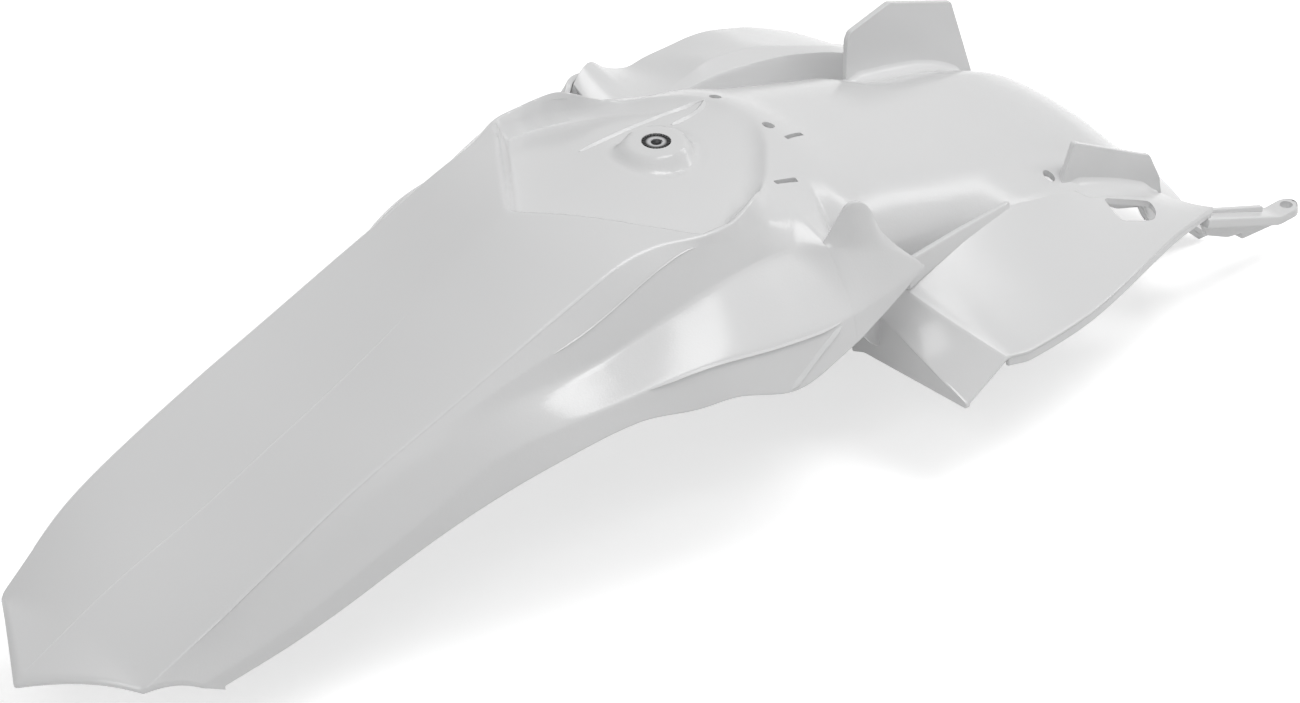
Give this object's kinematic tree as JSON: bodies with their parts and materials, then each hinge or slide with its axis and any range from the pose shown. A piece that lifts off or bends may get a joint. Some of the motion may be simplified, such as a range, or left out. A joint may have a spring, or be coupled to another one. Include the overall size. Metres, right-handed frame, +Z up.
{
  "type": "motorcycle rear fender",
  "caption": "Off-road motorcycle rear fender: a long tapering tail with skirts, a seat recess with a metal insert, and an arched saddle with tabs, a side panel and a wing.",
  "frame": {"origin": "centre of the seat bolt insert's top face", "axes": "+X forward from the tail tip to the saddle, +Y to the vehicle's left, +Z up"},
  "size_m": [0.738, 0.2562, 0.1654],
  "materials": {
    "white_plastic": "moulded white plastic with a soft gloss",
    "insert_metal": "machined steel with a knurled rim"
  },
  "bodies": {
    "root": {"fender_shell": "white_plastic", "seat_bolt_insert": "insert_metal"}
  },
  "joints": []
}
